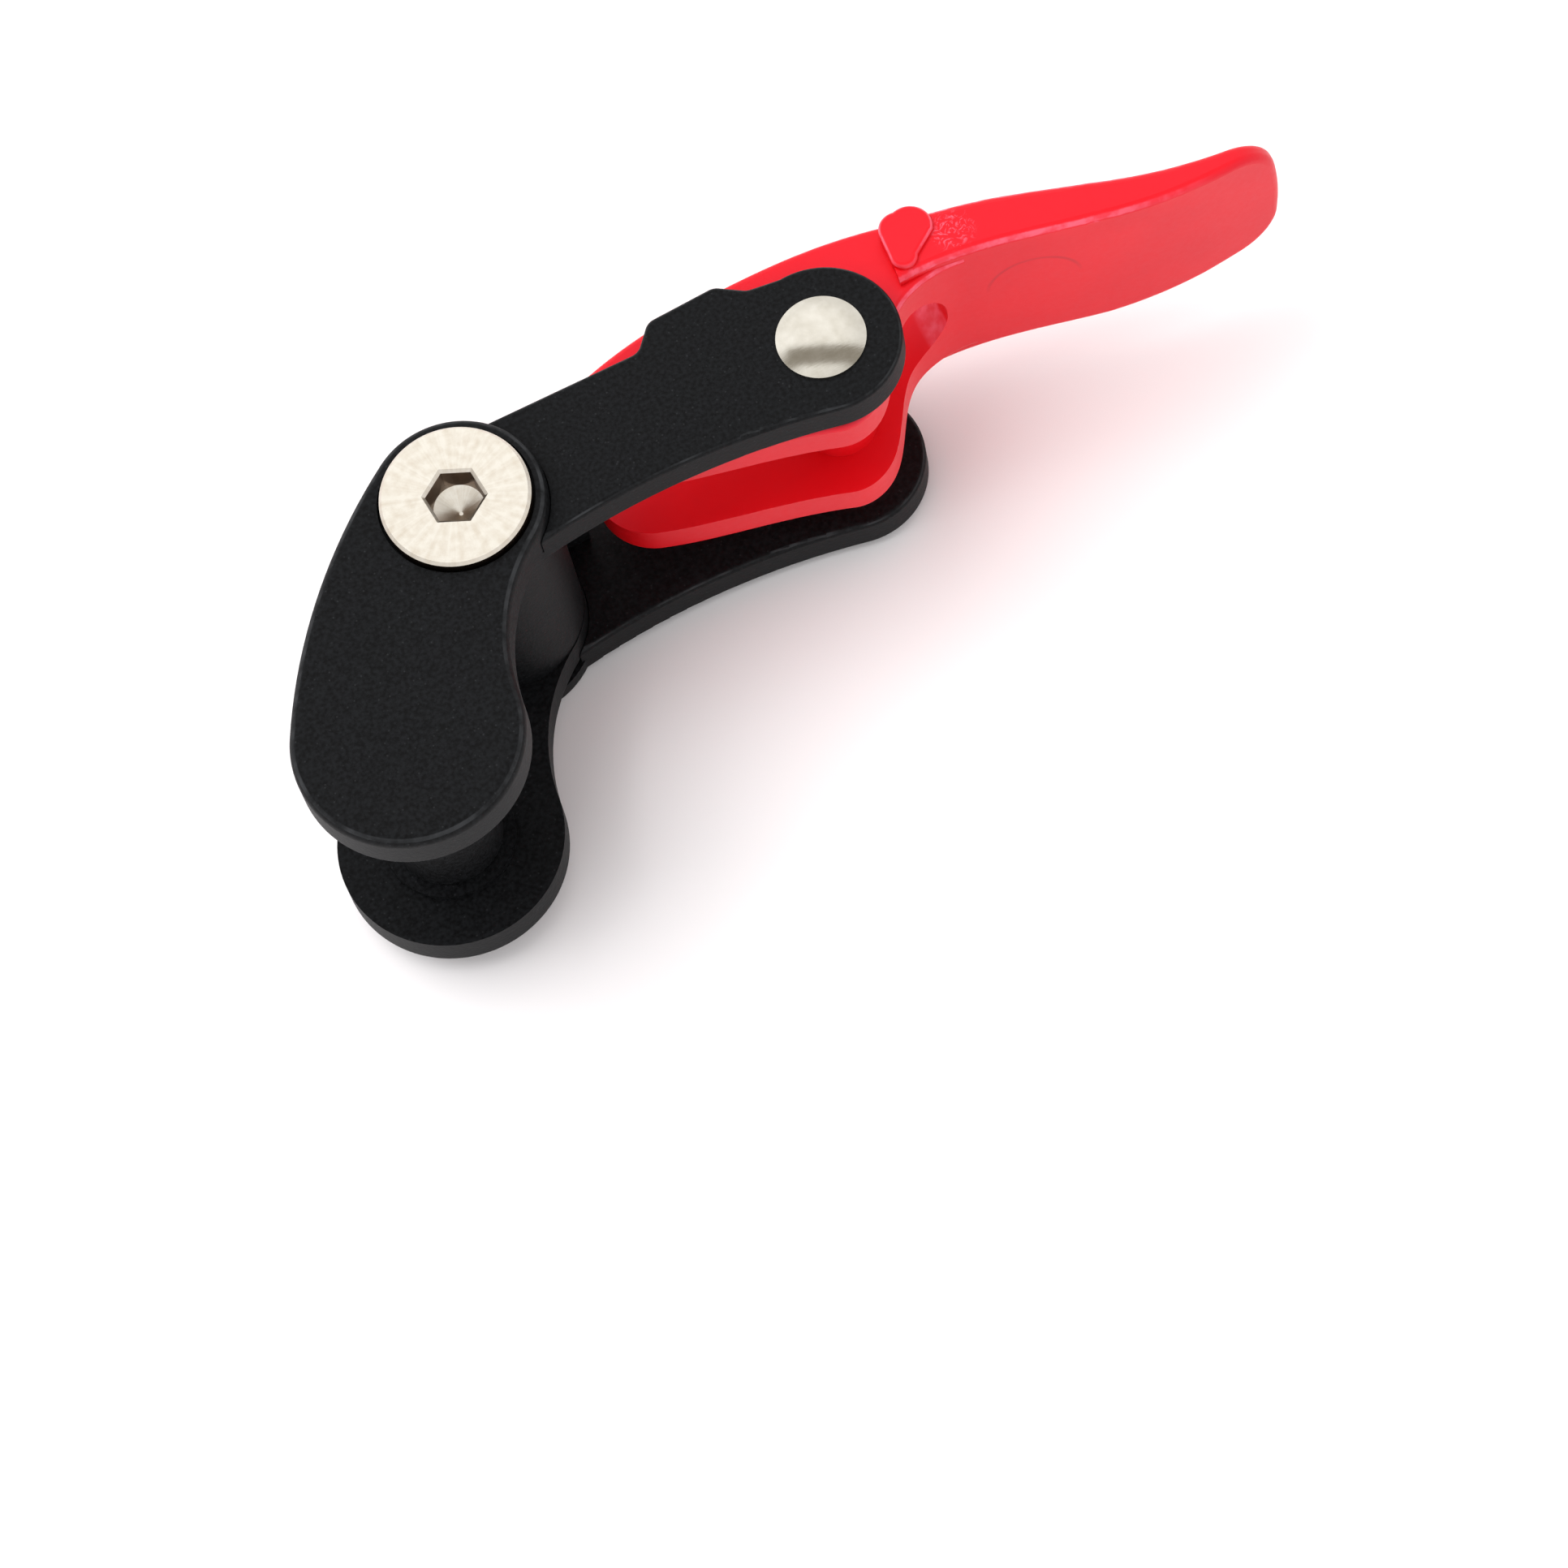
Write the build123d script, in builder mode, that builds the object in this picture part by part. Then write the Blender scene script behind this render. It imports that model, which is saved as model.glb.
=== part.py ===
"""Hand-lever clasp: an elbow body with a strap roller at one end and a forked lever at the other.

Millimetres, +Z up. The origin is on the elbow screw's axis, in the plane the clasp lies on.
+X runs from the elbow screw to the lever pivot, +Y towards the outer side of the elbow.
"""
from build123d import *
import os
from math import cos, hypot, radians, sin

os.makedirs("parts", exist_ok=True)

# ---------------------------------------------------------------- driving dimensions
head_proud = 1.0            # how far the screw heads and rivet domes stand out
body_width = 31.0           # outside, over both cheeks and over both arms
arm_drop = 2.1              # how far the pair of arms lies below the pair of cheeks
cheek_thick = 4.4           # kidney-shaped plates
arm_thick = 4.0             # arm plates
cheek_round = 1.0           # rounding of the cheeks' outer edges
arm_round = 0.5             # rounding of the arms' edges

pivot_x = 39.2              # elbow screw to lever pivot
hub_r = 8.9                 # round of the cheeks about the elbow screw
barrel_r = 8.8              # hub between the cheeks
disc_r = 9.2                # lower arm's round under the lower cheek
roller_x, roller_y = -14.3, -20.35
cheek_end_r = 11.5          # round end of the cheeks about the roller
cheek_back_r = 60.0         # full outer edge of the cheeks
cheek_throat_r = 20.0       # hollow inner edge of the cheeks

arm_end_r = 8.0             # round end of the arms about the pivot
arm_outer_y = 7.3           # outer edge of the arms
arm_inner_y = -7.1          # inner edge of the arms, beside the hub
arm_waist_y = -5.9          # inner edge of the arms, halfway
bump_y = 10.3               # thumb stop on the arms' outer edge
web_end_x = 12.0            # where the wall that joins the arms stops
web_thick = 3.0

screw_head_r, screw_head_t = 7.5, 2.0
screw_r = 3.95              # M8 thread, left plain
screw_length = 27.0         # below the head
sleeve_r, sleeve_length = 5.0, 24.0
hex_across, hex_depth = 5.1, 3.0
hex_turn = -25.0            # where a corner of the hexagon points, from +X
hex_mouth = 0.3             # 45 degree lead-in over the hexagon
drill_tip = 1.2             # cone at the bottom of the hexagon
head_edge = 0.3
sleeve_floor = 3.6          # metal left between the nut's socket and its thread
peg_r, peg_length = 1.0, 2.5
peg_angles = (-30, 100, 215)

roller_r = 5.5
boss_r, boss_height = 6.65, 0.8
roller_pin_r = 2.0
roller_pin_seat = 3.0       # how deep the roller pin sits in each cheek
roller_end_gap = 0.15

rivet_head_r, rivet_dome, rivet_rim = 4.5, 1.0, 0.25
rivet_r, rivet_core_r = 2.0, 1.2
rivet_tube_length = 20.0
rivet_post_length = 5.0     # post of the cap inside the tube

fork_width = 18.3           # lever, over both flanges
slot_width, slot_end_x, slot_corner_r = 10.3, 53.4, 4.9
pin_barrel_r = 3.9          # lever's pivot barrel, from arm to arm
paddle_root_width = 20.7
paddle_tip_x, paddle_tip_width = 89.2, 17.6
paddle_tip_corner = 5.2
lug_height = 0.7            # raised flat beside the slot's end, on one face only
lug_round = 0.5
lever_round = 0.8

running_gap = 0.05          # radial clearance of a turning pin
loose_gap = 0.1             # radial clearance of a fixed pin or sleeve
recess_gap = 0.3            # around each screw head

# ---------------------------------------------------------------- heights that follow
arm_low = head_proud
arm_top = arm_low + body_width
cheek_low = arm_low + arm_drop
cheek_top = cheek_low + body_width
mid = (cheek_low + cheek_top) / 2           # middle of the cheeks, the roller and the lever
cheek_in = cheek_top - cheek_thick
arm_in = arm_top - arm_thick
screw_seat = cheek_top + head_proud - screw_head_t
sleeve_seat = screw_head_t
sleeve_end = sleeve_seat + sleeve_length
roller_half = cheek_in - boss_height - roller_end_gap - mid

hub, roller, pivot = (0, 0), (roller_x, roller_y), (pivot_x, 0)
middle_plane = Plane.XY.offset(mid)
upright_plane = Plane(origin=(0, 0, mid), x_dir=(1, 0, 0), z_dir=(0, -1, 0))


def save(part, name):
    """Label one finished sub-part and write its STEP file."""
    part.label = name
    export_step(part, f"parts/{name}.step")


def polar(radius, angle, centre=hub):
    """Point on a circle, angle in degrees."""
    return centre[0] + radius * cos(radians(angle)), centre[1] + radius * sin(radians(angle))


def towards(centre, radius, point):
    """Point on a circle, on the line from its centre through another point."""
    dx, dy = point[0] - centre[0], point[1] - centre[1]
    scale = radius / hypot(dx, dy)
    return centre[0] + dx * scale, centre[1] + dy * scale


def arc_between(start, end, centre, radius):
    """The shorter arc about a centre from start to end."""
    middle = ((start[0] + end[0]) / 2, (start[1] + end[1]) / 2)
    return ThreePointArc(start, towards(centre, radius, middle), end)


def tangent_centre(reach_hub, reach_roller):
    """Point at one distance from the hub and another from the roller, on their inner side."""
    span = hypot(roller_x, roller_y)
    along = (reach_hub**2 - reach_roller**2 + span**2) / (2 * span)
    off = (reach_hub**2 - along**2) ** 0.5
    ux, uy = roller_x / span, roller_y / span
    return ux * along - uy * off, uy * along + ux * off


def cheek_outline():
    """Kidney: a round about the screw and one about the roller, joined by a full back and a hollow throat."""
    back = tangent_centre(cheek_back_r - hub_r, cheek_back_r - cheek_end_r)
    throat = tangent_centre(cheek_throat_r + hub_r, cheek_throat_r + cheek_end_r)
    back_hub = towards(back, cheek_back_r, hub)
    back_end = towards(back, cheek_back_r, roller)
    throat_hub = towards(hub, hub_r, throat)
    throat_end = towards(roller, cheek_end_r, throat)
    ThreePointArc(back_hub, polar(hub_r, 20), throat_hub)
    arc_between(throat_hub, throat_end, throat, cheek_throat_r)
    ThreePointArc(throat_end, polar(cheek_end_r, -120, roller), back_end)
    arc_between(back_end, back_hub, back, cheek_back_r)


def arm_outline():
    """Arm: straight outer edge with a thumb stop, hollow inner edge, round end about the pivot."""
    end_top = polar(arm_end_r, 96, pivot)
    end_low = polar(arm_end_r, -103, pivot)
    bump = [(22.6, arm_outer_y), (24.8, bump_y - 0.4), (32.2, bump_y), (35.0, arm_outer_y + 1.1)]
    Polyline((0, arm_outer_y), *bump, end_top)
    ThreePointArc(end_top, (pivot_x + arm_end_r, 0), end_low)
    ThreePointArc(end_low, (22, arm_waist_y), (5.2, arm_inner_y))
    Polyline((5.2, arm_inner_y), (0, arm_inner_y), (0, arm_outer_y))


def outer_edges(part, highest):
    """Edges of the highest or the lowest face, without those on the hub's centre line."""
    face = part.faces().sort_by(Axis.Z)[-1 if highest else 0]
    return face.edges().filter_by(lambda edge: edge.center().X > 0.1)


peg_places = [polar((barrel_r + sleeve_r) / 2, angle) for angle in peg_angles]

# ---------------------------------------------------------------- cheeks
# The plate is drawn as the upper cheek: rounded above, with the roller's boss and pin seat below.
with BuildPart() as cheek:
    with BuildSketch(Plane.XY.offset(cheek_in)):
        with BuildLine():
            cheek_outline()
        make_face()
    extrude(amount=cheek_thick)
    fillet(cheek.faces().sort_by(Axis.Z)[-1].edges(), cheek_round)
    with BuildSketch(Plane.XY.offset(cheek_in)):
        with Locations(roller):
            Circle(boss_r)
    extrude(amount=-boss_height)
    with BuildSketch(Plane.XY.offset(cheek_in - boss_height)):
        with Locations(roller):
            Circle(roller_pin_r + loose_gap)
    extrude(amount=boss_height + roller_pin_seat, mode=Mode.SUBTRACT)

with BuildPart() as upper_cheek:
    add(cheek.part)
    with BuildSketch(Plane.XY.offset(screw_seat)):
        Circle(screw_head_r + recess_gap)
    extrude(amount=screw_head_t, mode=Mode.SUBTRACT)
    with BuildSketch(Plane.XY.offset(cheek_in)):
        Circle(screw_r + loose_gap)
    extrude(amount=cheek_thick, mode=Mode.SUBTRACT)
save(upper_cheek.part, "upper_cheek")

# The lower cheek carries the lower half of the hub, with sockets for the bracket's pegs.
with BuildPart() as lower_cheek:
    mirror(cheek.part, about=middle_plane)
    with BuildSketch(middle_plane):
        Circle(barrel_r)
    extrude(amount=cheek_low + cheek_thick - mid)
    with BuildSketch(Plane.XY.offset(cheek_low)):
        Circle(sleeve_r + loose_gap)
    extrude(amount=mid - cheek_low, mode=Mode.SUBTRACT)
    with BuildSketch(middle_plane):
        with Locations(*peg_places):
            Circle(peg_r + loose_gap)
    extrude(amount=-peg_length - loose_gap, mode=Mode.SUBTRACT)
save(lower_cheek.part, "lower_cheek")

# ---------------------------------------------------------------- arms
# The bracket is one moulding: upper arm, upper half of the hub, and the wall that reaches the lower arm.
with BuildPart() as arm_bracket:
    with BuildSketch(Plane.XY.offset(arm_in)) as arm_face:
        with BuildLine():
            arm_outline()
        make_face()
        fillet([v for v in arm_face.vertices() if 20 < v.X < 36 and v.Y > 5], 1.6)
    extrude(amount=arm_thick)
    fillet(outer_edges(arm_bracket, True), arm_round)
    fillet(outer_edges(arm_bracket, False), arm_round)
    with BuildSketch(Plane.XY.offset(cheek_in)):
        Circle(hub_r + loose_gap)
    extrude(amount=cheek_thick, mode=Mode.SUBTRACT)
    with BuildSketch(middle_plane):
        Circle(barrel_r)
    extrude(amount=cheek_in - mid)
    with BuildSketch(middle_plane):
        with Locations((0, arm_outer_y)):
            Rectangle(web_end_x, web_thick, align=(Align.MIN, Align.MAX))
    extrude(amount=arm_in - mid)
    with BuildSketch(middle_plane):
        with Locations((0, arm_outer_y)):
            Rectangle(web_end_x, web_thick, align=(Align.MIN, Align.MAX))
        Circle(hub_r + loose_gap, mode=Mode.SUBTRACT)
    extrude(amount=arm_low + arm_thick - mid)
    with BuildSketch(middle_plane):
        Circle(sleeve_r + loose_gap)
    extrude(amount=sleeve_end + loose_gap - mid, mode=Mode.SUBTRACT)
    with BuildSketch(middle_plane):
        Circle(screw_r + loose_gap)
    extrude(amount=cheek_in - mid, mode=Mode.SUBTRACT)
    with BuildSketch(middle_plane.offset(-peg_length)):
        with Locations(*peg_places):
            Circle(peg_r)
    extrude(amount=peg_length)
    with BuildSketch(Plane.XY.offset(arm_in)):
        with Locations(pivot):
            Circle(rivet_r + loose_gap)
    extrude(amount=arm_thick, mode=Mode.SUBTRACT)
save(arm_bracket.part, "arm_bracket")

# The lower arm is a flat plate whose round end lies under the lower cheek.
with BuildPart() as lower_arm:
    with BuildSketch(Plane.XY.offset(arm_low)) as plate_face:
        with BuildLine():
            arm_outline()
        make_face()
        fillet([v for v in plate_face.vertices() if 20 < v.X < 36 and v.Y > 5], 1.6)
    extrude(amount=arm_thick)
    fillet(outer_edges(lower_arm, True), arm_round)
    with BuildSketch(Plane.XY.offset(cheek_low)):
        Circle(hub_r + loose_gap)
    extrude(amount=arm_thick, mode=Mode.SUBTRACT)
    with BuildSketch(Plane.XY.offset(arm_low)):
        Circle(disc_r)
    extrude(amount=arm_drop)
    fillet(lower_arm.faces().sort_by(Axis.Z)[0].edges(), arm_round)
    with BuildSketch(Plane.XY.offset(arm_low)):
        Circle(screw_head_r + recess_gap)
    extrude(amount=sleeve_seat - arm_low, mode=Mode.SUBTRACT)
    with BuildSketch(Plane.XY.offset(arm_low)):
        Circle(sleeve_r + loose_gap)
        with Locations(pivot):
            Circle(rivet_r + loose_gap)
    extrude(amount=arm_thick, mode=Mode.SUBTRACT)
save(lower_arm.part, "lower_arm")


# ---------------------------------------------------------------- elbow screw and sleeve nut
def flat_head():
    """Thin flat head with a hexagon socket, seated on z = 0 and facing up."""
    with BuildPart() as head:
        with BuildSketch():
            Circle(screw_head_r)
        extrude(amount=screw_head_t)
        chamfer(head.edges().sort_by(Axis.Z)[-1], head_edge)
    return head.part


def hex_socket():
    """Solid to cut a socket: hexagon, drilled tip below it and a flared mouth above."""
    with BuildPart() as tool:
        with BuildSketch(Plane.XY.offset(screw_head_t)):
            RegularPolygon(hex_across / 2, 6, major_radius=False, rotation=hex_turn)
        extrude(amount=-hex_depth)
        with Locations((0, 0, screw_head_t - hex_depth - drill_tip / 2)):
            Cone(0.2, hex_across / 2, drill_tip)
        with BuildSketch(Plane.XY.offset(screw_head_t)):
            RegularPolygon(hex_across / 2 + hex_mouth, 6, major_radius=False, rotation=hex_turn)
        extrude(amount=-hex_mouth, taper=45)
    return tool.part


with BuildPart() as elbow_screw:
    add(flat_head())
    with BuildSketch():
        Circle(screw_r)
    extrude(amount=-screw_length)
    chamfer(elbow_screw.edges().sort_by(Axis.Z)[0], 0.6)
    add(hex_socket(), mode=Mode.SUBTRACT)
save(elbow_screw.part.moved(Location((0, 0, screw_seat))), "elbow_screw")

with BuildPart() as elbow_sleeve_nut:
    add(flat_head())
    with BuildSketch():
        Circle(sleeve_r)
    extrude(amount=-sleeve_length)
    with BuildSketch(Plane.XY.offset(-sleeve_length)):
        Circle(screw_r + running_gap)
    extrude(amount=sleeve_length - sleeve_floor, mode=Mode.SUBTRACT)
    add(hex_socket(), mode=Mode.SUBTRACT)
nut_place = Location((0, 0, sleeve_seat), (180, 0, 0))
save(elbow_sleeve_nut.part.moved(nut_place), "elbow_sleeve_nut")

# ---------------------------------------------------------------- strap roller
with BuildPart() as anchor_roller:
    with BuildSketch(middle_plane):
        with Locations(roller):
            Circle(roller_r)
            Circle(roller_pin_r + running_gap, mode=Mode.SUBTRACT)
    extrude(amount=roller_half, both=True)
    chamfer(anchor_roller.edges().filter_by(lambda e: e.geom_type == GeomType.CIRCLE and e.radius > 3), 0.4)
save(anchor_roller.part, "anchor_roller")

with BuildPart() as roller_pin:
    with BuildSketch(middle_plane):
        with Locations(roller):
            Circle(roller_pin_r)
    extrude(amount=cheek_in + roller_pin_seat - loose_gap - mid, both=True)
    chamfer(roller_pin.edges().filter_by(GeomType.CIRCLE), 0.3)
save(roller_pin.part, "roller_pin")


# ---------------------------------------------------------------- lever and its rivet
def fork_outline():
    """Side view of the two flanges, from the tail to the paddle's root."""
    outer = Spline((15.8, 9.0), (24, 11.1), (34, 12.0), (44, 11.7), (56, 8.9))
    root = Line(outer @ 1, (56, 3.2))
    heel = Spline(root @ 1, (51.7, 3.1), (48.6, 1.9), (43.6, -4.8), (41.3, -7.1), (39.2, -7.9), (36.9, -7.7))
    inner = Spline(heel @ 1, (28.8, -5.4), (18.2, -2.7), tangents=[heel % 1, (-1, 0.35)])
    tail = ThreePointArc(inner @ 1, (13.9, 1.4), (14.0, 5.6))
    Spline(tail @ 1, outer @ 0, tangents=[tail % 1, outer % 0])


def paddle_outline():
    """Side view of the paddle: a shallow S that thins towards its tip."""
    outer = Spline((50.3, 10.3), (55, 9.3), (60, 8.2), (66, 6.3), (72, 4.3), (78, 2.8), (84, 2.1), (90, 2.2))
    tip = Line(outer @ 1, (90, 0.1))
    inner = Spline(tip @ 1, (85, -0.2), (80, -0.5), (76, -0.4), (70, 0.4), (64, 1.8), (58, 3.1), (49.2, 3.6))
    Polyline(inner @ 1, (49.5, 6.5), outer @ 0)


def lug_outline():
    """Side view of the raised flat: steep towards the arms, running out into the paddle."""
    left, right = (49.3, 5.6), (52.0, 5.2)
    ThreePointArc(right, (50.5, 4.3), left)
    Line(left, (49.5, 8.8))
    ThreePointArc((49.5, 8.8), (50.2, 10.2), (51.8, 10.6))
    ThreePointArc((51.8, 10.6), (54.8, 9.1), (54.5, 7.0))
    Line((54.5, 7.0), right)


def paddle_plan():
    """Paddle seen along Y, with the height above the middle plane: it narrows a little to a blunt round tip."""
    root, tip = paddle_root_width / 2, paddle_tip_width / 2
    corner_x = paddle_tip_x - 1
    Polyline((corner_x, tip), (80, tip + 0.8), (70, root), (49, root),
             (49, -root), (70, -root), (80, -tip - 0.8), (corner_x, -tip))
    ThreePointArc((corner_x, -tip), (paddle_tip_x, 0), (corner_x, tip))


with BuildPart() as paddle:
    with BuildSketch(middle_plane):
        with BuildLine():
            paddle_outline()
        make_face()
    extrude(amount=paddle_root_width / 2, both=True)
    with BuildSketch(upright_plane) as plan:
        with BuildLine():
            paddle_plan()
        make_face()
        fillet(plan.vertices().filter_by(lambda v: v.X > 85), paddle_tip_corner)
    extrude(amount=30, both=True, mode=Mode.INTERSECT)
    fillet(paddle.edges().filter_by(lambda e: e.center().X > 52), lever_round)
    with BuildSketch(middle_plane.offset(paddle_root_width / 2 - lever_round)):
        with BuildLine():
            lug_outline()
        make_face()
    extrude(amount=lever_round + lug_height)
    fillet(paddle.faces().sort_by(Axis.Z)[-1].edges(), lug_round)

with BuildPart() as finger_lever:
    with BuildSketch(middle_plane):
        with BuildLine():
            fork_outline()
        make_face()
    extrude(amount=fork_width / 2, both=True)
    fillet(finger_lever.edges().filter_by(lambda e: e.center().X < 53 and abs(e.center().Z - mid) > 9), 0.6)
    add(paddle.part)
    with BuildSketch(upright_plane) as slot:
        with BuildLine():
            Polyline((0, slot_width / 2), (slot_end_x, slot_width / 2), (slot_end_x, -slot_width / 2),
                     (0, -slot_width / 2), close=True)
        make_face()
        fillet(slot.vertices().filter_by(lambda v: v.X > 1), slot_corner_r)
    extrude(amount=30, both=True, mode=Mode.SUBTRACT)
    with BuildSketch(Plane.XY.offset(arm_low + arm_thick + loose_gap)):
        with Locations(pivot):
            Circle(pin_barrel_r)
    extrude(amount=arm_in - arm_low - arm_thick - 2 * loose_gap)
    with BuildSketch(Plane.XY.offset(arm_low)):
        with Locations(pivot):
            Circle(rivet_r + running_gap)
    extrude(amount=body_width, mode=Mode.SUBTRACT)
save(finger_lever.part, "finger_lever")


def domed_head():
    """Low dome on z = 0 with a thin straight rim."""
    rise = rivet_dome - rivet_rim
    sphere_r = (rivet_head_r**2 + rise**2) / (2 * rise)
    with BuildPart() as dome:
        with BuildSketch():
            Circle(rivet_head_r)
        extrude(amount=rivet_dome)
        with Locations((0, 0, rivet_dome - sphere_r)):
            Sphere(sphere_r, mode=Mode.INTERSECT)
    return dome.part


# Two caps on one tube: the tube's core takes the post of the cap below, pressed in.
with BuildPart() as lever_pin:
    add(domed_head())
    with BuildSketch():
        Circle(rivet_r)
    extrude(amount=-rivet_tube_length)
    with BuildSketch(Plane.XY.offset(-rivet_tube_length)):
        Circle(rivet_core_r)
    extrude(amount=rivet_post_length + loose_gap, mode=Mode.SUBTRACT)
save(lever_pin.part.moved(Location((pivot_x, 0, arm_top))), "lever_pin")

with BuildPart() as lever_pin_cap:
    add(domed_head())
    with BuildSketch():
        Circle(rivet_r)
    extrude(amount=rivet_tube_length - body_width)
    with BuildSketch():
        Circle(rivet_core_r)
    extrude(amount=rivet_tube_length - body_width - rivet_post_length)
cap_place = Location((pivot_x, 0, arm_low), (180, 0, 0))
save(lever_pin_cap.part.moved(cap_place), "lever_pin_cap")
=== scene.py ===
"""Looks for the hand-lever clasp: moulded nylon body, red lever, nickel screw and rivet, on a white table.

Metres. The CAD nodes keep their shapes; this file gives them their finishes and adds the marks of moulding.
"""

from math import radians

import bpy
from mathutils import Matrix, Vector

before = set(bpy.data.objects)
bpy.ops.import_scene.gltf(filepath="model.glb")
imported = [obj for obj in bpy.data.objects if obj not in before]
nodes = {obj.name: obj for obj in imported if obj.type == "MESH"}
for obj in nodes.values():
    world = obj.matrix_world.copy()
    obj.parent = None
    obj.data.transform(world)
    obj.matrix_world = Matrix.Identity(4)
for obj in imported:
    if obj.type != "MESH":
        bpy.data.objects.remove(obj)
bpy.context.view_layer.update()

MM = 0.001
STREAK_TURN = 0.12                                      # radians between streaks on the screw heads
SCUFF_CENTRE = (56.3 * MM, 6.2 * MM, 29.1 * MM)         # beside the lever's raised flat
EJECTOR_X, EJECTOR_Z = 62.6 * MM, 19.0 * MM             # centre of the ejector's mark on the paddle
PADDLE_START_X = 49.5 * MM
TENT_BACK = (0.0, 0.5, 0.866)                           # brightest part of the tent
TENT_GAP_ALONG = (0.426, 0.905, 0.0)                    # the gap overhead runs across this direction
TENT_GAP = (0.28, 0.26, 0.23, 1.0)                      # its dim, warm light


# ---------------------------------------------------------------- shared helpers
def linear(hex_colour):
    """sRGB hex to the linear RGBA that shader sockets take."""
    values = [int(hex_colour[i:i + 2], 16) / 255 for i in (1, 3, 5)]
    return [v / 12.92 if v <= 0.04045 else ((v + 0.055) / 1.055) ** 2.4 for v in values] + [1.0]


def new_material(name):
    """Material with only a Principled shader; returns it with its tree and shader."""
    material = bpy.data.materials.new(name)
    material.use_nodes = True
    tree = material.node_tree
    shader = next(n for n in tree.nodes if n.type == "BSDF_PRINCIPLED")
    return material, tree, shader


def node(tree, kind, settings=None, inputs=None):
    """Add one node: settings are its properties; inputs are values or sockets to link."""
    made = tree.nodes.new(kind)
    for key, value in (settings or {}).items():
        setattr(made, key, value)
    for key, value in (inputs or {}).items():
        if isinstance(value, bpy.types.NodeSocket):
            tree.links.new(value, made.inputs[key])
        else:
            made.inputs[key].default_value = value
    return made


def object_coordinates(tree):
    return node(tree, "ShaderNodeTexCoord").outputs["Object"]


def noise(tree, place, size, detail=2.0, distortion=0.0):
    """Noise whose features are about `size` metres wide."""
    return node(tree, "ShaderNodeTexNoise", inputs={"Vector": place, "Scale": 1 / size, "Detail": detail,
                                                    "Distortion": distortion}).outputs["Fac"]


def calc(tree, operation, *values):
    return node(tree, "ShaderNodeMath", {"operation": operation}, dict(enumerate(values))).outputs["Value"]


def ramp(tree, factor, stops):
    """Colour ramp from (position, hex or grey) stops."""
    made = node(tree, "ShaderNodeValToRGB", inputs={"Fac": factor})
    elements = made.color_ramp.elements
    while len(elements) < len(stops):
        elements.new(0.5)
    for element, (position, value) in zip(elements, stops):
        element.position = position
        element.color = linear(value) if isinstance(value, str) else (value, value, value, 1)
    return made.outputs["Color"]


def blend(tree, factor, below, above):
    """Mix two colours by a mask."""
    return node(tree, "ShaderNodeMix", {"data_type": "RGBA"},
                {"Factor": factor, "A": below, "B": above}).outputs["Result"]


def spread(tree, factor, low, high):
    """Stretch a 0 to 1 factor between two values."""
    mapped = node(tree, "ShaderNodeMapRange", inputs={"Value": factor, "To Min": low, "To Max": high})
    return mapped.outputs["Result"]


def length_of(tree, across, up):
    """Length of a flat vector from its two parts."""
    squares = [calc(tree, "MULTIPLY", part, part) for part in (across, up)]
    return calc(tree, "SQRT", calc(tree, "ADD", *squares))


def dot(tree, vector, fixed):
    product = node(tree, "ShaderNodeVectorMath", {"operation": "DOT_PRODUCT"}, {0: vector, 1: fixed})
    return product.outputs["Value"]


def line_noise(tree, value, size, detail=2.0):
    """Noise that changes along one value only."""
    return noise(tree, node(tree, "ShaderNodeCombineXYZ", inputs={"X": value}).outputs["Vector"], size, detail)


def axes_of(tree, vector):
    """The X, Y and Z parts of a vector socket."""
    return node(tree, "ShaderNodeSeparateXYZ", inputs={"Vector": vector}).outputs


def band(tree, value, low, high, edge):
    """Mask that is 1 between low and high and fades over `edge`."""
    rise = node(tree, "ShaderNodeMapRange", inputs={"Value": value, "From Min": low - edge, "From Max": low})
    fall = node(tree, "ShaderNodeMapRange", inputs={"Value": value, "From Min": high, "From Max": high + edge,
                                                    "To Min": 1.0, "To Max": 0.0})
    return calc(tree, "MULTIPLY", rise.outputs["Result"], fall.outputs["Result"])


def dress(name, material):
    """Give a CAD node one material."""
    mesh = nodes[name].data
    mesh.materials.clear()
    mesh.materials.append(material)


def finish_surface(tree, shader, colour, rough, height, strength):
    """Link colour and roughness, and a shallow bump from a height."""
    bump = node(tree, "ShaderNodeBump", inputs={"Height": height, "Strength": strength, "Distance": 0.05 * MM})
    tree.links.new(colour, shader.inputs["Base Color"])
    tree.links.new(rough, shader.inputs["Roughness"])
    tree.links.new(bump.outputs["Normal"], shader.inputs["Normal"])


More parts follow.
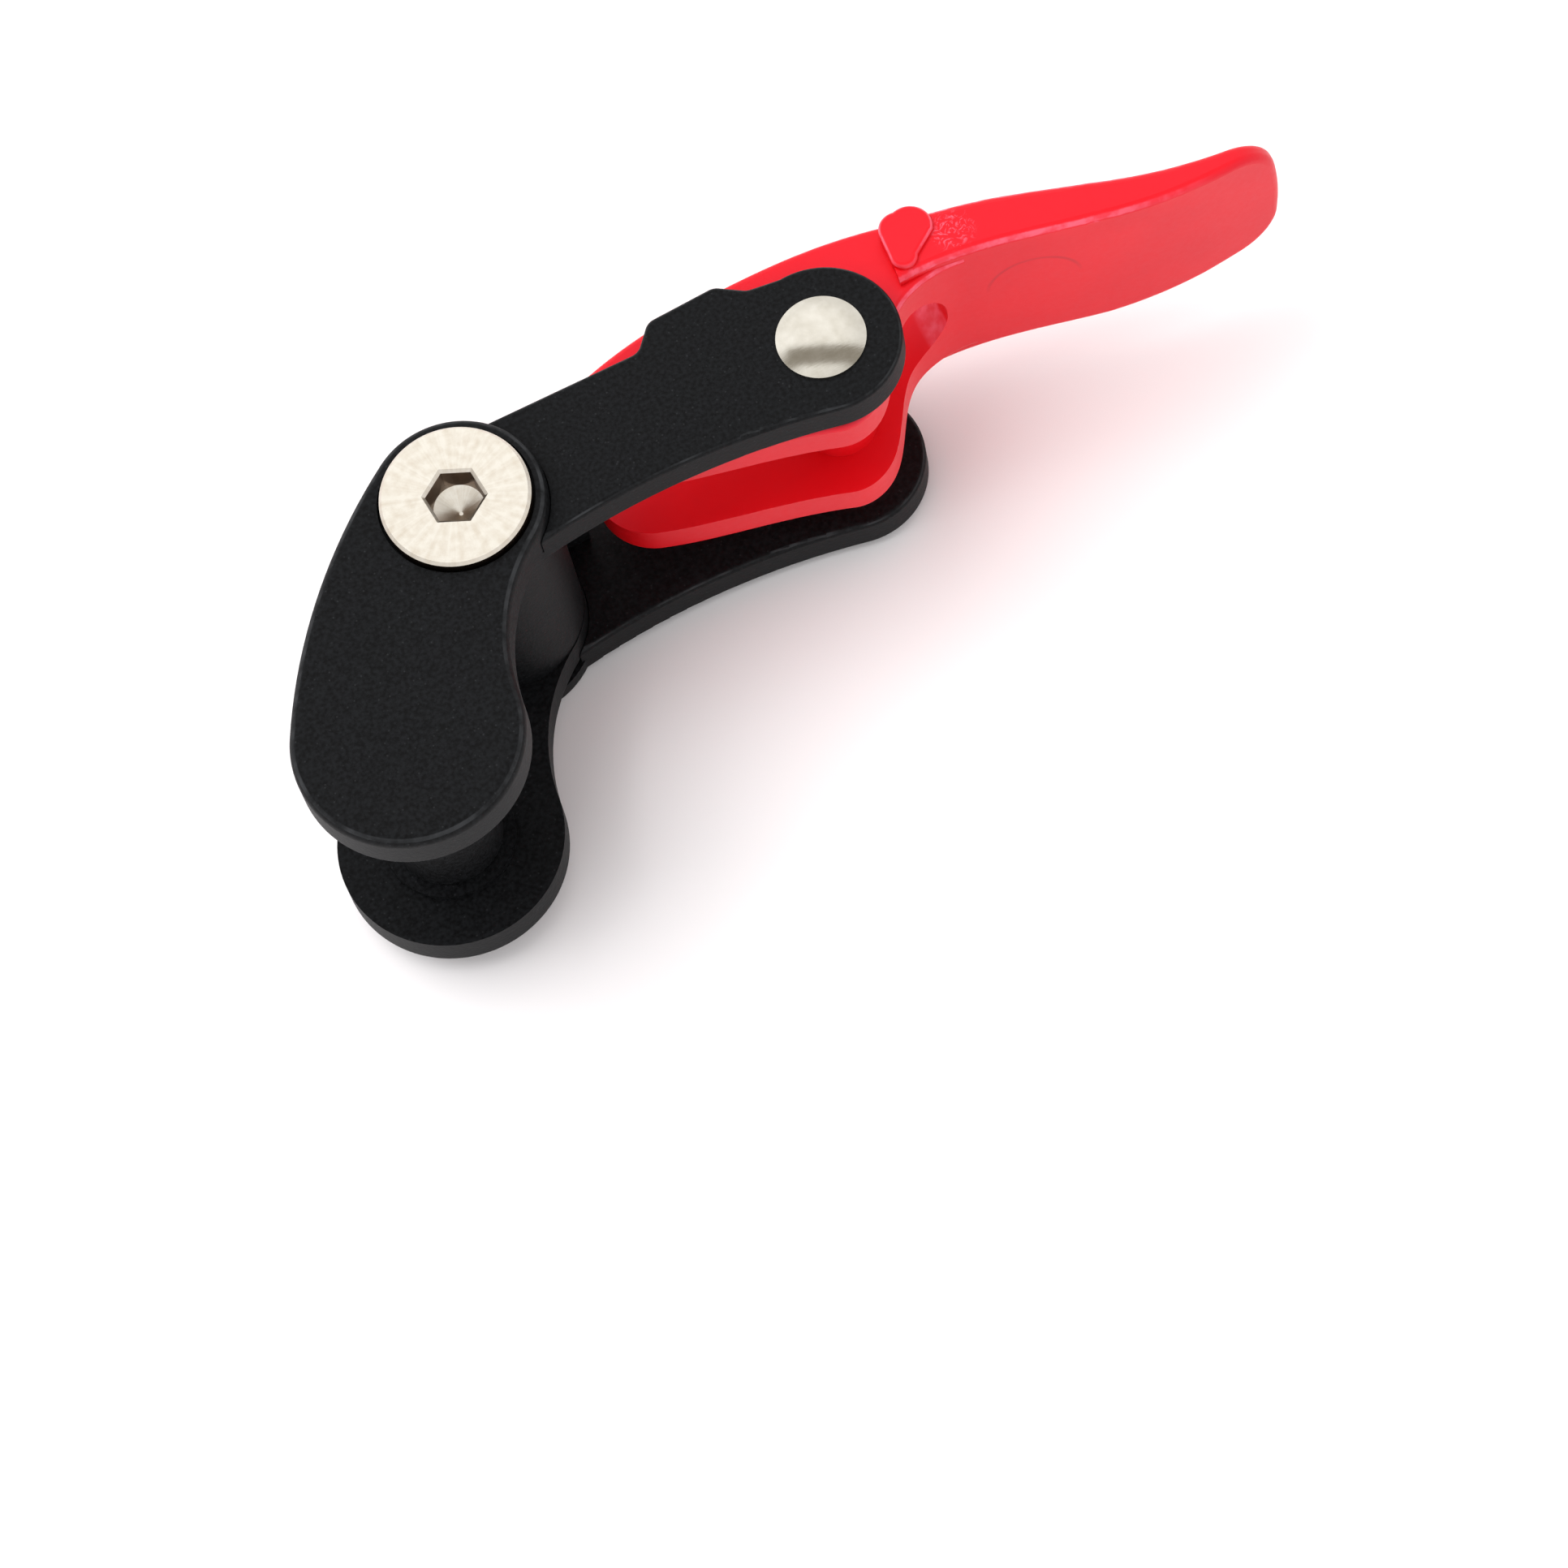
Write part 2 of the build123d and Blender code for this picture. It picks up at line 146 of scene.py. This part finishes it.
# ---------------------------------------------------------------- materials
def glass_filled_nylon():
    """Black glass-filled nylon from a spark-eroded mould: matt, finely pebbled, with a few grey glass specks.

    The upward-facing half of the rounded edges shows a faint broken line of greyer colour: a painted edge
    highlight, with small worn nicks.
    """
    material, tree, shader = new_material("glass_filled_nylon")
    place = object_coordinates(tree)
    pebble = noise(tree, place, 0.4 * MM, 3.0)
    speck = node(tree, "ShaderNodeTexVoronoi", inputs={"Vector": place, "Scale": 1 / (0.8 * MM)})
    speck_mask = ramp(tree, speck.outputs["Distance"], [(0.0, 1.0), (0.16, 0.0)])
    base = ramp(tree, pebble, [(0.35, "#040405"), (0.65, "#131416")])
    speckled = blend(tree, calc(tree, "MULTIPLY", speck_mask, 0.45), base, linear("#3a3b3d"))
    facing = axes_of(tree, node(tree, "ShaderNodeNewGeometry").outputs["Normal"])
    # painted highlight: the upward-facing edge rounding turns grey (#303133), broken into small worn nicks
    painted_edge_highlight = band(tree, facing["Z"], 0.7, 0.9, 0.04)
    broken = ramp(tree, noise(tree, place, 2.5 * MM, 4.0), [(0.42, 0.15), (0.66, 1.0)])
    edge_highlight_and_wear = calc(tree, "MULTIPLY", painted_edge_highlight, broken)
    colour = blend(tree, edge_highlight_and_wear, speckled, linear("#303133"))
    rough = spread(tree, pebble, 0.45, 0.62)
    finish_surface(tree, shader, colour, rough, pebble, 0.6)
    shader.inputs["Specular IOR Level"].default_value = 0.14
    return material


def red_abs():
    """Red ABS from a smooth mould: satin, with a slow flow pattern and a painted light-pink highlight on the
    paddle's upward-facing edges.

    It is scuffed beside the raised flat, and an ejector has left a faint arc on the paddle's hollow side.
    """
    material, tree, shader = new_material("red_abs")
    place = object_coordinates(tree)
    at = axes_of(tree, place)
    grain = noise(tree, place, 0.6 * MM)
    base = ramp(tree, noise(tree, place, 14 * MM, 3.0, 0.6), [(0.3, "#d9030c"), (0.7, "#e2060f")])

    facing = axes_of(tree, node(tree, "ShaderNodeNewGeometry").outputs["Normal"])
    # painted highlight: the paddle's upward-facing edge rounding, broken up by noise
    edge = calc(tree, "MULTIPLY", band(tree, facing["Z"], 0.35, 0.8, 0.1),
                band(tree, at["X"], PADDLE_START_X, 70 * MM, 12 * MM))
    broken = ramp(tree, noise(tree, place, 1.6 * MM, 3.0), [(0.4, 0.3), (0.6, 1.0)])
    painted_edge_highlight = calc(tree, "MULTIPLY", edge, broken)

    scuff_place = node(tree, "ShaderNodeVectorMath", {"operation": "DISTANCE"},
                       {0: place, 1: SCUFF_CENTRE}).outputs["Value"]
    scuff_area = ramp(tree, calc(tree, "MULTIPLY", scuff_place, 1 / (2.6 * MM)), [(0.5, 1.0), (1.0, 0.0)])
    scratches = ramp(tree, noise(tree, place, 0.9 * MM, 5.0, 3.0), [(0.52, 0.0), (0.66, 1.0)])
    scuffs = calc(tree, "MULTIPLY", scuff_area, scratches)
    # painted edge highlight together with the real scuffs
    highlight_and_scuffs = calc(tree, "MINIMUM", calc(tree, "ADD", painted_edge_highlight, scuffs), 1.0)

    across = calc(tree, "SUBTRACT", at["X"], EJECTOR_X)
    up = calc(tree, "SUBTRACT", at["Z"], EJECTOR_Z)
    reach = length_of(tree, across, up)
    arc = calc(tree, "MULTIPLY", band(tree, reach, 4.65 * MM, 4.75 * MM, 0.25 * MM),
               calc(tree, "MULTIPLY", band(tree, at["Z"], 21.5 * MM, 23.0 * MM, 2.5 * MM),
                    band(tree, facing["Y"], -1.1, -0.5, 0.1)))
    colour = blend(tree, calc(tree, "MULTIPLY", arc, 0.35), base, linear("#8e0208"))
    # light pink #ff8aa4: painted edge highlight and real scuffs
    colour = blend(tree, calc(tree, "MULTIPLY", highlight_and_scuffs, 0.4), colour, linear("#ff8aa4"))
    rough = spread(tree, grain, 0.36, 0.48)
    finish_surface(tree, shader, colour, rough, grain, 0.12)
    shader.inputs["IOR"].default_value = 1.54
    shader.inputs["Specular IOR Level"].default_value = 0.4
    shader.inputs["Specular Tint"].default_value = (0.9, 0.7, 1.0, 1.0)
    shader.inputs["Subsurface Weight"].default_value = 0.1
    shader.inputs["Subsurface Scale"].default_value = 1.0 * MM
    return material


def nickel_plate():
    """Nickel plated steel with a turned face: warm and bright, faint rings and radial streaks.

    The vertical walls of the head and of its socket carry a painted brown reflection.
    """
    material, tree, shader = new_material("nickel_plate")
    place = object_coordinates(tree)
    at = axes_of(tree, place)
    rings = line_noise(tree, length_of(tree, at["X"], at["Y"]), 0.12 * MM)
    streaks = line_noise(tree, calc(tree, "ARCTAN2", at["Y"], at["X"]), STREAK_TURN, 3.0)
    cloud = noise(tree, place, 0.9 * MM, 5.0)
    mottle = calc(tree, "MULTIPLY", calc(tree, "ADD", streaks, cloud), 0.5)
    base = ramp(tree, mottle, [(0.36, "#ddd3c3"), (0.58, "#efe9dd")])
    facing = axes_of(tree, node(tree, "ShaderNodeNewGeometry").outputs["Normal"])
    # painted reflection: vertical walls of head and socket are painted brown
    walls_painted_brown = band(tree, facing["Z"], -0.6, 0.6, 0.15)
    colour = blend(tree, calc(tree, "MULTIPLY", walls_painted_brown, 0.9), base, linear("#6b5342"))
    rough = spread(tree, streaks, 0.24, 0.34)
    finish_surface(tree, shader, colour, rough, rings, 0.08)
    shader.inputs["Metallic"].default_value = 1.0
    return material


def polished_nickel():
    """Polished nickel: nearly a mirror, slightly warm, with faint long scratches."""
    material, tree, shader = new_material("polished_nickel")
    place = object_coordinates(tree)
    stretched = node(tree, "ShaderNodeVectorMath", {"operation": "MULTIPLY"}, {0: place, 1: (1.0, 6.0, 1.0)})
    scratch = noise(tree, stretched.outputs["Vector"], 0.6 * MM, 4.0)
    colour = ramp(tree, noise(tree, place, 1.5 * MM, 4.0), [(0.3, "#ccc6b9"), (0.7, "#ddd8cd")])
    rough = spread(tree, scratch, 0.08, 0.2)
    finish_surface(tree, shader, colour, rough, scratch, 0.05)
    shader.inputs["Metallic"].default_value = 1.0
    return material


def white_table():
    """Matt white table top, a shade warmer than the light."""
    material, _, shader = new_material("white_table")
    shader.inputs["Base Color"].default_value = linear("#f4f1f2")
    shader.inputs["Roughness"].default_value = 0.9
    shader.inputs["Specular IOR Level"].default_value = 0.1
    return material


# ---------------------------------------------------------------- camera, light and table
def set_camera():
    """Long lens, looking down over the arms from the hollow side of the elbow."""
    data = bpy.data.cameras.new("camera")
    data.sensor_width = 36.0
    data.lens = 132.67
    data.clip_start = 0.01
    camera = bpy.data.objects.new("camera", data)
    camera.location = (-0.02584, -0.25622, 0.53443)
    camera.rotation_euler = (radians(22.786), radians(6.142), radians(-25.236))
    bpy.context.scene.collection.objects.link(camera)
    bpy.context.scene.camera = camera


def area_light(name, place, target, size, power, colour="#ffffff"):
    """Square soft box at a place, facing a target; polished metal mirrors only the tent."""
    data = bpy.data.lights.new(name, "AREA")
    data.shape = "SQUARE"
    data.size = size
    data.energy = power
    data.color = linear(colour)[:3]
    light = bpy.data.objects.new(name, data)
    light.location = place
    light.rotation_euler = (Vector(target) - Vector(place)).to_track_quat("-Z", "Y").to_euler()
    light.visible_glossy = False
    bpy.context.scene.collection.objects.link(light)


def set_lights():
    """White light tent, brightest above and behind, with a dim gap overhead; one soft box on the left."""
    world = bpy.data.worlds.new("tent")
    world.use_nodes = True
    tree = world.node_tree
    direction = node(tree, "ShaderNodeTexCoord").outputs["Generated"]
    back = dot(tree, direction, TENT_BACK)
    along = dot(tree, direction, TENT_GAP_ALONG)
    height = axes_of(tree, direction)["Z"]
    wall = ramp(tree, back, [(0.0, 0.85), (0.75, 0.72), (0.93, 1.0)])
    opening = calc(tree, "MULTIPLY", band(tree, along, 0.04, 0.26, 0.06),
                   band(tree, height, 0.85, 1.0, 0.1))
    background = tree.nodes["Background"]
    tree.links.new(blend(tree, opening, wall, TENT_GAP), background.inputs["Color"])
    background.inputs["Strength"].default_value = 1.3
    bpy.context.scene.world = world
    area_light("left_box", (-0.35, 0.25, 0.85), (0.02, 0, 0), 0.8, 6.5)


def lay_table():
    mesh = bpy.data.meshes.new("table")
    half = 2.0
    corners = [(-half, -half, 0), (half, -half, 0), (half, half, 0), (-half, half, 0)]
    mesh.from_pydata(corners, [], [(0, 1, 2, 3)])
    table = bpy.data.objects.new("table", mesh)
    bpy.context.scene.collection.objects.link(table)
    mesh.materials.append(white_table())


set_camera()
set_lights()
lay_table()
bpy.context.scene.view_settings.view_transform = "Standard"

nylon = glass_filled_nylon()
for name in ("upper_cheek", "lower_cheek", "arm_bracket", "lower_arm", "anchor_roller"):
    dress(name, nylon)
dress("finger_lever", red_abs())
nickel = nickel_plate()
for name in ("elbow_screw", "elbow_sleeve_nut"):
    dress(name, nickel)
dome = polished_nickel()
for name in ("lever_pin", "lever_pin_cap", "roller_pin"):
    dress(name, dome)
